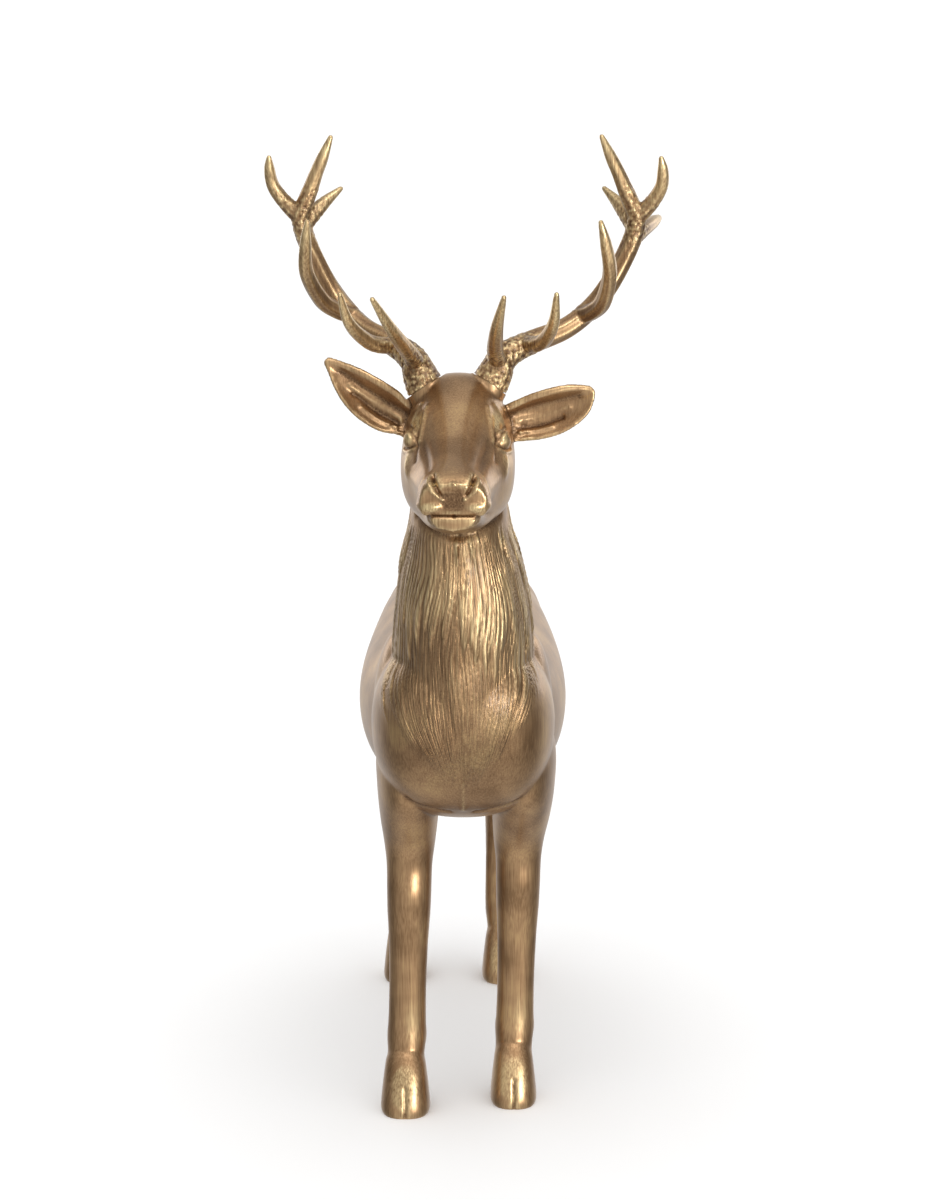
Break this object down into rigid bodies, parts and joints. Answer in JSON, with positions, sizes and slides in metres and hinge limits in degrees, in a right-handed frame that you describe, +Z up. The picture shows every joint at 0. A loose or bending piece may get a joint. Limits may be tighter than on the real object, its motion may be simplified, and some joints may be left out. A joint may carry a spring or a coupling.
{
  "type": "deer garden statue",
  "caption": "Standing stag garden statue with a carved neck mane, forward ears and two branching antlers that plug into the head.",
  "frame": {"origin": "on the ground, under the middle of the whole statue's box", "axes": "+Z up, the stag faces -Y, +X is the stag's left"},
  "size_m": [0.5872, 1.0764, 1.5082],
  "materials": {
    "aged_gold": "aged gold metallic paint with a brown glaze in the hollows, satin, on cast resin"
  },
  "bodies": {
    "root": {"stag_figure": "aged_gold", "antler_left": "aged_gold", "antler_right": "aged_gold"}
  },
  "joints": []
}
